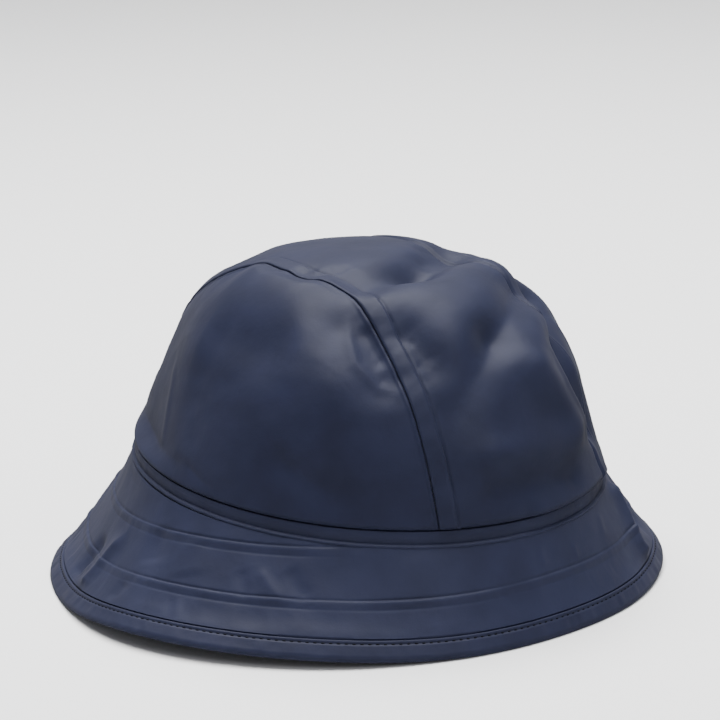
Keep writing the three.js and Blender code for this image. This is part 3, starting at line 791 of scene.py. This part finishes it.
def centre_strip(context, name, material):
    """The strip over the crown, with a welt beside each seam."""
    form = hat_form(context)
    s = form.s
    rows, columns = STRIP_GRID
    t = np.linspace(-1, 1, rows)
    right, left = form.seam(-1, t), form.seam(1, t)
    width = length_of(left - right)
    reach = [width * form.cloth_per_unit(edge) for edge in (right, left)]
    start = SEAM_GAP / 2 / reach[0]
    end = 1 - SEAM_GAP / 2 / reach[1]
    share = mix(start[:, None], end[:, None], crowded(columns, 0.8)[None, :])
    sign = np.sign(t)
    foot_right, foot_left = form.seam(-1, sign), form.seam(1, sign)
    foot = mix(foot_right[:, None], foot_left[:, None], share[..., None])
    bulge = sign[:, None] * np.sqrt(1 - foot[..., 0] ** 2) - foot[..., 1]
    q = mix(right[:, None], left[:, None], share[..., None])
    q[..., 1] += np.abs(t[:, None]) ** 3 * bulge
    gaps = [share * reach[0][:, None] - SEAM_GAP / 2, (1 - share) * reach[1][:, None] - SEAM_GAP / 2]
    lift = np.full(share.shape, s.crown_wall)
    for side, gap in zip((-1, 1), gaps):
        welt = 1 - smooth((gap - s.welt_width + 1.4 * MM) / (1.4 * MM))
        lift = lift + s.welt_height * welt * rounding((gap + 0.2 * MM) / (1.3 * MM))
        lift = lift - 0.3 * MM * (1 - rounding(gap / (0.6 * MM)))
        stitched = np.exp(-((gap - s.welt_width + 0.1 * MM) / (0.65 * MM)) ** 2)
        lift = lift - 0.42 * MM * stitched
        lift = lift + 0.8 * seam_puckers(form, side, t, gap)
        far = np.abs(gap - s.welt_width - 1 * MM)
        lift = lift + 0.5 * seam_puckers(form, side * 2, t, far)
    lift = np.maximum(lift - foot_roll(form, q), 0.2 * MM)
    outer, inner = form.crown_faces(q, lift)
    return shell(name, outer, inner, False, material)


def band(context, name, material):
    """The low band, with a thin ridge round its foot. Its turned edge stands up inside the
    crown's foot, so that no light comes through between them."""
    form = hat_form(context)
    s = form.s
    steps = BAND_STEPS
    azimuth = np.arange(steps) * 360 / steps
    slope = form.slope_at(azimuth)
    height = s.band_height
    ridge = [(0.8 * MM * math.sin(a), 0.75 * MM - 0.75 * MM * math.cos(a))
             for a in np.linspace(0.35, math.pi * 0.86, 12)]
    round_off = 0.4 * MM
    face = [(0.15 * MM * (1 - u) - BAND_LEAN + 0.3 * MM * math.sin(math.pi * u),
             mix(1.7 * MM, height - round_off, u)) for u in np.linspace(0, 1, 16)]
    rim = [(-BAND_LEAN - round_off * (1 - math.cos(a)), height - round_off * (1 - math.sin(a)))
           for a in np.linspace(0.3, math.pi / 2, 5)]
    turned = s.crown_inset + 0.12 * MM
    top = height + 0.9 * MM
    inside = [(-turned, height), (-turned, top), (-BAND_LEAN - s.band_wall, top)]
    inside += [(-s.band_wall - BAND_LEAN * u, height * u) for u in np.linspace(0.9, 0, 8)]
    outline = np.array(ridge + face + rim + inside)
    across = np.repeat(outline[None, :, 0], steps, 0)
    upward = np.repeat(outline[None, :, 1], steps, 0)
    spots = slope["top"][:, None] + slope["out"][:, None] * across[..., None]
    outward = smooth((across + 1.2 * MM) / (0.6 * MM))
    waves = 0.16 * MM * noise(spots, 8 * MM) + 0.1 * MM * noise(spots * [1, 1, 0.2], 3.5 * MM)
    spots = spots + slope["out"][:, None] * (waves * outward)[..., None]
    spots[..., 2] = form.base_at(spots[..., 1]) + upward
    return ring(name, spots + form.origin, material)


def brim_across(form, azimuth, up):
    """Places on the unrolled brim: along it at half its slope, and up it."""
    turn = np.radians(azimuth)
    mean = (form.s.head_length + form.s.head_width) / 4 + form.s.brim_reach * 0.35
    return np.stack([mean * turn, up, 0 * up], -1)


def brim_push(form, azimuth, up, slope):
    """Folds, fine pleats and small waves of the brim's cloth."""
    turned = (azimuth + 180) % 360 - 180
    push = np.zeros(up.shape)
    for _, run, near, far, depth, sharp in BRIM_FOLDS:
        middle = run[0][0]
        here = (turned - middle + 180) % 360 - 180 + middle
        spots = brim_across(form, here, up)
        line = [brim_across(form, a, np.array(u * MM)) for a, u in run]
        push += crease_push(spots, line, near * MM, far * MM, depth * MM, sharp)
    mean = brim_across(form, np.array(1.0), np.array(0.0))[0]
    for middle, spread, low, high, pitch, depth in PLEATS:
        here = (turned - middle + 180) % 360 - 180
        window = np.exp(-(here / spread) ** 2)
        window = window * smooth((up - low * MM) / (3 * MM)) * smooth((high * MM - up) / (3 * MM))
        place = np.stack([here * mean + up * 0.2, up * 0.22, 0 * up + middle * MM], -1)
        push += 1.6 * depth * MM * window * noise(place, pitch * 0.62 * MM)
    spots = form.brim_point(slope, up, 0 * up)
    push += form.crumple * 1.7 * noise(spots, 24 * MM)
    push += form.crumple * 0.5 * noise(spots + 0.2, 7 * MM)
    for rib in (form.s.lower_rib, form.s.upper_rib):
        beside = np.exp(-((up - rib - form.s.rib_width / 2) / (3.4 * MM)) ** 2)
        place = np.stack([turned * mean, up * 0.3, 0 * up + rib], -1)
        push += 0.10 * MM * beside * noise(place, 3.2 * MM)
    edge = smooth((up - 8.5 * MM) / (5 * MM)) * smooth((slope["length"] - up) / (5 * MM))
    return push * edge


def rib_push(form, azimuth, up, length):
    """Height of the two ribs: a stitched groove along the upper side of each, a soft
    shoulder under it and a long fall to the lower side."""
    s = form.s
    turned = (azimuth + 180) % 360 - 180
    mean = brim_across(form, np.array(1.0), np.array(0.0))[0]
    total = np.zeros(up.shape)
    for rib in (s.lower_rib, s.upper_rib):
        free = smooth((length - rib - s.rib_width) / s.rib_width)
        place = np.stack([turned * mean, 0 * up, 0 * up + rib], -1)
        strength = 0.62 + 0.45 * noise(place, 24 * MM)
        share = (up - rib) / s.rib_width
        shoulder = smooth(share / 0.72) * smooth((1.02 - share) / 0.2)
        foot = 0.16 * MM * np.exp(-((share + 0.02) / 0.14) ** 2)
        groove = 0.36 * MM * np.exp(-((share - 1.06) / 0.13) ** 2)
        total += free * strength * (0.75 * s.rib_height * shoulder - groove - foot)
    return total


def brim_rows(form, length):
    """Distances up the slope of the rows of points, closer together at the ribs."""
    s = form.s
    start = s.tape_width - 5.5 * MM
    knots = [start, s.tape_width + 1.2 * MM, s.lower_rib - 1.2 * MM, s.lower_rib + s.rib_width + 1.2 * MM,
             s.upper_rib - 1.2 * MM, s.upper_rib + s.rib_width + 1.2 * MM]
    places = [start + 0 * length]
    low = start + 0 * length
    for i, count in enumerate(BRIM_COUNTS):
        after = len(BRIM_COUNTS) - 1 - i
        if after:
            high = np.minimum(knots[i + 1], length - after * 0.9 * MM)
        else:
            high = length
        for j in range(1, count + 1):
            places.append(mix(low, high, j / count))
        low = high
    return np.stack(places, -1)


def brim(context, name, material):
    """The sloping brim, from inside the tape to under the band."""
    form = hat_form(context)
    s = form.s
    steps = BRIM_STEPS
    azimuth = np.arange(steps) * 360 / steps
    slope = form.slope_at(azimuth)
    up = brim_rows(form, slope["length"])
    columns = up.shape[1]
    wide = {key: np.repeat(value[:, None], columns, 1) for key, value in slope.items()}
    around = np.repeat(azimuth[:, None], columns, 1)
    thin = 0.5 * MM
    beside = (up - s.tape_width) / MM
    half = mix(thin, s.brim_wall / 2, smooth((beside - 0.2) / 0.5))
    half = half + 0.7 * MM * smooth((beside - 0.25) / 0.35) * np.exp(-(np.maximum(beside, 0) / 5) ** 2)
    push = brim_push(form, around, up, wide)
    upper = form.brim_point(wide, up, half + push + rib_push(form, around, up, wide["length"]))
    few = np.concatenate([np.arange(columns - 2, 14, -9), [6, 0]])
    lower = form.brim_point(
        {key: value[:, few] for key, value in wide.items()}, up[:, few], (push - half)[:, few])
    under = []
    for out in (s.brim_wall / 2, -s.band_wall):
        spot = slope["top"] + slope["out"] * out
        spot[:, 2] = form.base_at(spot[:, 1]) - FOOT_GAP
        under.append(spot[:, None])
    grid = np.concatenate([lower, upper[:, :-1]] + under, 1)
    return ring(name, grid + form.origin, material)


def tape_puckers(form, azimuth, up):
    """Small waves of the tape between its edge and the row of stitches."""
    turned = (azimuth + 180) % 360 - 180
    mean = brim_across(form, np.array(1.0), np.array(0.0))[0] * 1.2
    place = np.stack([turned * mean, up * 0.2, 0 * up], -1)
    middle = np.exp(-((up - form.s.tape_width * 0.5) / (3 * MM)) ** 2)
    return 0.22 * MM * middle * noise(place, 3.6 * MM) + 0.1 * MM * middle * noise(place + 0.1, 9 * MM)


def binding(context, name, material):
    """The tape folded over the brim's edge, with a groove under its stitches."""
    form = hat_form(context)
    s = form.s
    steps = TAPE_STEPS
    azimuth = np.arange(steps) * 360 / steps
    slope = form.slope_at(azimuth)
    face = TAPE_SLOT + s.tape_wall
    bottom = s.tape_width - 5.8 * MM
    ups = np.concatenate([np.linspace(2 * MM, 5.6 * MM, 8), np.linspace(5.9 * MM, s.tape_width, 13)])
    rolled = 0.3 * MM * (1 - rounding((s.tape_width - ups) / (0.6 * MM)))
    groove = 0.35 * MM * np.exp(-((ups - s.tape_width + STITCH_INSET) / (0.45 * MM)) ** 2)
    heights = face - rolled - groove
    outline = [(up, height, 1) for up, height in zip(ups[::-1], heights[::-1])]
    for turn in np.linspace(0.15, 0.85, 7):
        angle = turn * math.pi
        outline.append((2 * MM * (1 - math.sin(angle)), face * 0.92 * math.cos(angle), 0))
    outline += [(up, -height, 1) for up, height in zip(ups[1:], heights[1:])]
    outline += [(s.tape_width, -TAPE_SLOT, 0), (bottom, -TAPE_SLOT, 0),
                (bottom, TAPE_SLOT, 0), (s.tape_width, TAPE_SLOT, 0)]
    table = np.array(outline[::-1])
    size = len(table)
    wide = {key: np.repeat(value[:, None], size, 1) for key, value in slope.items()}
    around = np.repeat(azimuth[:, None], size, 1)
    up = np.repeat(table[None, :, 0], steps, 0)
    height = np.repeat(table[None, :, 1], steps, 0)
    height = height + tape_puckers(form, around, up) * table[None, :, 2]
    grid = form.brim_point(wide, up, height)
    grid[..., 2] = np.maximum(grid[..., 2], wide["lift"])
    return ring(name, grid + form.origin, material)


def stitches(context, name, material):
    """Rows of stitches on both faces of the tape, joined in one mesh."""
    form = hat_form(context)
    s = form.s
    fine = np.arange(0, 360, 0.1)
    slope = form.slope_at(fine)
    line = s.tape_width - STITCH_INSET
    spots = form.brim_point(slope, 0 * fine + line, 0 * fine + 1.4 * MM)
    gaps = length_of(np.diff(np.concatenate([spots, spots[:1]]), axis=0))
    along = np.concatenate([[0], np.cumsum(gaps)])
    count = int(round(along[-1] / s.stitch_pitch))
    centres = np.interp(np.arange(count) * along[-1] / count, along, np.append(fine, 360.0))
    mean = along[-1] / 360
    points, faces = [], []
    for face in (1, -1):
        for azimuth in centres:
            base = len(points) * 6
            for k in np.linspace(-1, 1, 7):
                bulk = THREAD_RADIUS * math.sqrt(max(1 - k ** 4, 0.02))
                dip = 0.16 * MM * k * k
                here = np.array(azimuth + k * STITCH_HALF / mean)
                row = form.slope_at(here)
                circle = []
                for corner in range(6):
                    angle = corner * math.pi / 3
                    up = np.array(line + bulk * math.cos(angle))
                    height = 1.46 * MM - dip + bulk * 0.8 * math.sin(angle)
                    height += float(tape_puckers(form, here, up)) * face
                    circle.append(form.brim_point(row, up, np.array(face * height)))
                points.append(circle)
            for r in range(6):
                for c in range(6):
                    a, b = base + r * 6 + c, base + r * 6 + (c + 1) % 6
                    quad = [a, b, b + 6, a + 6]
                    faces.append(quad if face < 0 else quad[::-1])
    grid = np.array(points) + form.origin
    return new_object(name, grid, np.array(faces), material)


def finish_piece(piece, slot, *nodes):
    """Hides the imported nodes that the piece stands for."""
    for node in nodes:
        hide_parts(node)


class HAT_OT_crown(bpy.types.Operator):
    """Build the two side panels and the centre strip"""

    bl_idname = "rain_hat.crown"
    bl_label = "Crown"

    def execute(self, context):
        look = context.scene.cloth_look
        cloth = coated_cloth("crown_cloth", look.crown_color, look)
        strip = coated_cloth("strip_cloth", look.strip_color, look)
        finish_piece(side_panel(context, "right_panel", -1, cloth), "crown_cloth", "crown_right_panel")
        finish_piece(centre_strip(context, "centre_strip", strip), "strip_cloth", "crown_centre_strip")
        finish_piece(side_panel(context, "left_panel", 1, cloth), "crown_cloth", "crown_left_panel")
        return {"FINISHED"}


class HAT_OT_band(bpy.types.Operator):
    """Build the band between the crown and the brim"""

    bl_idname = "rain_hat.band"
    bl_label = "Band"

    def execute(self, context):
        look = context.scene.cloth_look
        cloth = coated_cloth("band_cloth", look.band_painted_light_color, look)
        finish_piece(band(context, "head_band", cloth), "band_cloth", "crown_band")
        return {"FINISHED"}


class HAT_OT_brim(bpy.types.Operator):
    """Build the brim with its ribs and pleats"""

    bl_idname = "rain_hat.brim"
    bl_label = "Brim"

    def execute(self, context):
        look = context.scene.cloth_look
        cloth = coated_cloth("brim_cloth", look.brim_color, look)
        finish_piece(brim(context, "ribbed_brim", cloth), "brim_cloth", "brim")
        return {"FINISHED"}


class HAT_OT_binding(bpy.types.Operator):
    """Build the folded tape on the brim's edge and its stitches"""

    bl_idname = "rain_hat.binding"
    bl_label = "Binding"

    def execute(self, context):
        look = context.scene.cloth_look
        cloth = coated_cloth("binding_cloth", look.binding_color, look)
        thread = twisted_thread("sewing_thread", look.thread_tone_and_hole_shade)
        finish_piece(binding(context, "edge_tape", cloth), "binding_cloth", "brim_binding")
        finish_piece(stitches(context, "tape_stitches", thread), "binding_cloth")
        return {"FINISHED"}


def camera_axes(stage):
    """The camera's back, right and up directions."""
    a, e, r = stage.azimuth, stage.elevation, stage.roll
    back = Vector((math.sin(a) * math.cos(e), -math.cos(a) * math.cos(e), math.sin(e)))
    right = Vector((math.cos(a), math.sin(a), 0))
    up = back.cross(right)
    return back, math.cos(r) * right + math.sin(r) * up, math.cos(r) * up - math.sin(r) * right


def soft_light(name, place, target, size, power):
    light = bpy.data.lights.new(name, "AREA")
    light.shape = "DISK"
    light.size = size
    light.energy = power
    lamp = bpy.data.objects.new(name, light)
    lamp.location = place
    lamp.rotation_euler = (Vector(target) - Vector(place)).to_track_quat("-Z", "Y").to_euler()
    bpy.context.scene.collection.objects.link(lamp)
    return lamp


class HAT_OT_stage(bpy.types.Operator):
    """Build the floor, the lights and the camera"""

    bl_idname = "rain_hat.stage"
    bl_label = "Stage"

    def execute(self, context):
        stage = context.scene.stage_look
        half = stage.floor_size / 2
        corners = np.array([(-half, -half, 0), (half, -half, 0), (half, half, 0), (-half, half, 0)])
        pale = bpy.data.materials.new("pale_floor")
        pale.use_nodes = True
        shader = pale.node_tree.nodes["Principled BSDF"]
        shader.inputs["Base Color"].default_value = (*stage.floor_color, 1)
        shader.inputs["Roughness"].default_value = 0.7
        shader.inputs["Specular IOR Level"].default_value = 0.2
        floor = new_object("floor", corners, np.array([[0, 1, 2, 3]]), pale, body=None)
        floor.visible_glossy = False

        sky = bpy.data.worlds.new("surround")
        sky.use_nodes = True
        tree = sky.node_tree
        around = tree.nodes.new("ShaderNodeTexCoord")
        split = tree.nodes.new("ShaderNodeSeparateXYZ")
        link(tree, around.outputs["Generated"], split.inputs["Vector"])
        height = tree.nodes.new("ShaderNodeMapRange")
        height.inputs["From Min"].default_value = -1
        link(tree, split.outputs["Z"], height.inputs["Value"])
        glow = tree.nodes.new("ShaderNodeValToRGB")
        glow.color_ramp.elements[0].color = (0.30, 0.30, 0.31, 1)
        glow.color_ramp.elements[1].color = (0.32, 0.33, 0.35, 1)
        for place, color in ((0.44, (0.35, 0.35, 0.36, 1)), (0.51, (0.95, 0.91, 0.90, 1)),
                             (0.60, (0.60, 0.59, 0.60, 1)), (0.70, (0.33, 0.34, 0.36, 1))):
            glow.color_ramp.elements.new(place).color = color
        link(tree, height.outputs["Result"], glow.inputs["Fac"])
        link(tree, glow.outputs["Color"], tree.nodes["Background"].inputs["Color"])
        tree.nodes["Background"].inputs["Strength"].default_value = stage.sky_strength
        context.scene.world = sky

        back, right, up = camera_axes(stage)
        flat_back = Vector((back.x, back.y, 0)).normalized()
        middle = Vector((0, 0, 0.06))
        key = middle - right * 0.05 - flat_back * 0.25 + Vector((0, 0, 1.6))
        soft_light("key", key, middle, 1.9, stage.key_power)
        fill = middle + right * 0.9 + flat_back * 1.4 + Vector((0, 0, 1.3))
        soft_light("fill", fill, middle, 1.2, stage.fill_power)
        rear = middle - flat_back * 2.4 + Vector((0, 0, 2.2))
        soft_light("rear", rear, middle - flat_back * 2.2, 1.6, stage.rear_power)

        aim = right * AIM_RIGHT + up * AIM_UP + Vector(hat_form(context).origin)
        camera = bpy.data.cameras.new("camera")
        camera.sensor_width = 36
        camera.lens = stage.lens
        camera.clip_end = 50
        eye = bpy.data.objects.new("camera", camera)
        turn = Matrix((right, up, back)).transposed().to_4x4()
        eye.matrix_world = Matrix.Translation(aim + back * stage.distance) @ turn
        context.scene.collection.objects.link(eye)
        context.scene.camera = eye
        return {"FINISHED"}


class HAT_PT_panel(bpy.types.Panel):
    """Sizes, finishes and the steps that build the hat"""

    bl_label = "Rain Hat"
    bl_idname = "HAT_PT_panel"
    bl_space_type = "VIEW_3D"
    bl_region_type = "UI"
    bl_category = "Rain Hat"

    def draw(self, context):
        for group in (context.scene.hat_sizes, context.scene.cloth_look, context.scene.stage_look):
            box = self.layout.box()
            for name in group.__annotations__:
                box.prop(group, name)
        for step in OPERATORS:
            self.layout.operator(step.bl_idname)


GROUPS = {"hat_sizes": HatSizes, "cloth_look": ClothLook, "stage_look": StageLook}
OPERATORS = (HAT_OT_crown, HAT_OT_band, HAT_OT_brim, HAT_OT_binding, HAT_OT_stage)


def register():
    for group in GROUPS.values():
        bpy.utils.register_class(group)
    for operator in OPERATORS:
        bpy.utils.register_class(operator)
    bpy.utils.register_class(HAT_PT_panel)
    for name, group in GROUPS.items():
        setattr(bpy.types.Scene, name, PointerProperty(type=group))


def unregister():
    for name in GROUPS:
        delattr(bpy.types.Scene, name)
    bpy.utils.unregister_class(HAT_PT_panel)
    for operator in reversed(OPERATORS):
        bpy.utils.unregister_class(operator)
    for group in reversed(list(GROUPS.values())):
        bpy.utils.unregister_class(group)


def main():
    register()
    bpy.ops.rain_hat.stage()
    bpy.ops.rain_hat.crown()
    bpy.ops.rain_hat.band()
    bpy.ops.rain_hat.brim()
    bpy.ops.rain_hat.binding()


if __name__ == "__main__":
    main()
